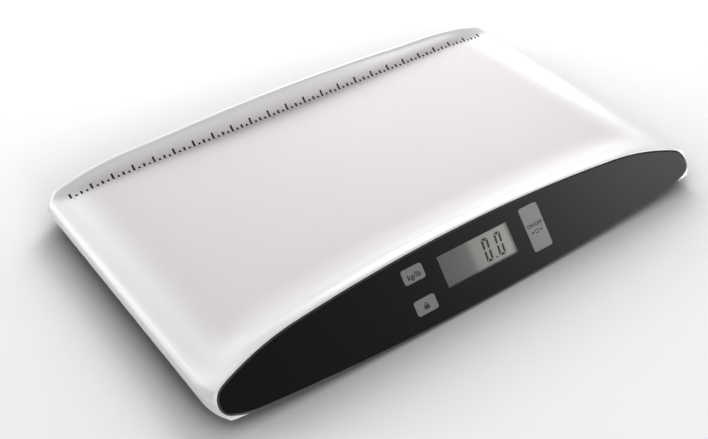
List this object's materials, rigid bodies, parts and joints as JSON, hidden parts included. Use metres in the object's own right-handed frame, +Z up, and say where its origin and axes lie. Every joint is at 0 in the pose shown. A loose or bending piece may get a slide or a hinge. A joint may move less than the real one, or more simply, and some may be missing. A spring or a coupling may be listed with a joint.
{
  "type": "veterinary scale",
  "caption": "Low digital platform scale with a cradle-shaped white tray, a leaning dark display panel with press buttons, load cell feet and a battery door underneath.",
  "frame": {"origin": "on the floor under the middle of the body", "axes": "+X to the right along the tray's length, +Y from the display panel to the back, +Z up"},
  "size_m": [0.635, 0.378, 0.0615],
  "materials": {
    "shell_white": "smooth satin moulding, warm white",
    "panel_dark": "fine satin moulding, near black",
    "window_clear": "clear polished acrylic",
    "tape_black": "thin foam tape",
    "inner_black": "plain black moulding",
    "lcd_grey": "grey green liquid crystal glass with a reflective back",
    "diffuser_white": "milky diffuser sheet",
    "elastomer_pink": "soft layered elastomer",
    "board_green": "solder mask on glass laminate",
    "component_black": "epoxy moulding",
    "connector_ivory": "nylon moulding",
    "button_grey": "satin warm grey moulding",
    "plunger_ivory": "acetal",
    "cell_steel": "cut and ground steel plate",
    "gauge_amber": "polyimide film",
    "rubber_grey": "soft rubber",
    "nickel": "nickel plated spring strip",
    "zinc_steel": "zinc plated",
    "battery_wrap": "printed shrink sleeve, left plain",
    "lead_grey": "soft grey sheath",
    "lead_red": "soft red insulation",
    "lead_black": "soft black insulation"
  },
  "bodies": {
    "housing": {"tray_cover": "shell_white", "base_shell": "shell_white", "front_fascia": "panel_dark", "display_window": "window_clear", "window_tape": "tape_black", "lcd_holder": "inner_black", "lcd_panel": "lcd_grey", "lcd_backlight": "diffuser_white", "zebra_strips": "elastomer_pink", "display_board": "board_green", "controller_chip": "component_black", "board_components": "component_black", "lead_connectors": "connector_ivory", "buzzer": "component_black", "switch_bodies": "component_black", "strain_gauges": "gauge_amber", "battery_contacts_left": "nickel", "battery_contacts_right": "nickel", "battery_lead_positive": "lead_red", "battery_lead_negative": "lead_black", "case_screws": "zinc_steel", "board_screws": "zinc_steel", "carrier_screws": "zinc_steel", "foot_screws": "zinc_steel", "load_cell_front_left": "cell_steel", "cell_carrier_front_left": "inner_black", "foot_cup_front_left": "inner_black", "foot_pad_front_left": "rubber_grey", "sensor_lead_front_left": "lead_grey", "load_cell_front_right": "cell_steel", "cell_carrier_front_right": "inner_black", "foot_cup_front_right": "inner_black", "foot_pad_front_right": "rubber_grey", "sensor_lead_front_right": "lead_grey", "load_cell_rear_left": "cell_steel", "cell_carrier_rear_left": "inner_black", "foot_cup_rear_left": "inner_black", "foot_pad_rear_left": "rubber_grey", "sensor_lead_rear_left": "lead_grey", "load_cell_rear_right": "cell_steel", "cell_carrier_rear_right": "inner_black", "foot_cup_rear_right": "inner_black", "foot_pad_rear_right": "rubber_grey", "sensor_lead_rear_right": "lead_grey", "battery_cell_1": "battery_wrap", "battery_cell_2": "battery_wrap", "battery_cell_3": "battery_wrap", "battery_cell_4": "battery_wrap"},
    "unit_button": {"unit_button": "button_grey", "unit_plunger": "plunger_ivory"},
    "hold_button": {"hold_button": "button_grey", "hold_plunger": "plunger_ivory"},
    "power_tare_button": {"power_tare_button": "button_grey", "power_tare_plunger": "plunger_ivory"},
    "battery_door": {"battery_door": "shell_white"}
  },
  "joints": [
    {"name": "unit_button_press", "type": "slide", "parent": "housing", "child": "unit_button", "axis": [0, 0.7431, -0.6691], "range_m": [0, 0.0006], "stiffness_N_per_m": 3300},
    {"name": "hold_button_press", "type": "slide", "parent": "housing", "child": "hold_button", "axis": [0, 0.7431, -0.6691], "range_m": [0, 0.0006], "stiffness_N_per_m": 3300},
    {"name": "power_tare_button_press", "type": "slide", "parent": "housing", "child": "power_tare_button", "axis": [0, 0.7431, -0.6691], "range_m": [0, 0.0006], "stiffness_N_per_m": 3300},
    {"name": "battery_door_hinge", "type": "hinge", "parent": "housing", "child": "battery_door", "pos_m": [0, 0.0103, 0.0047], "axis": [-1, 0, 0], "range_deg": [0, 75]}
  ]
}
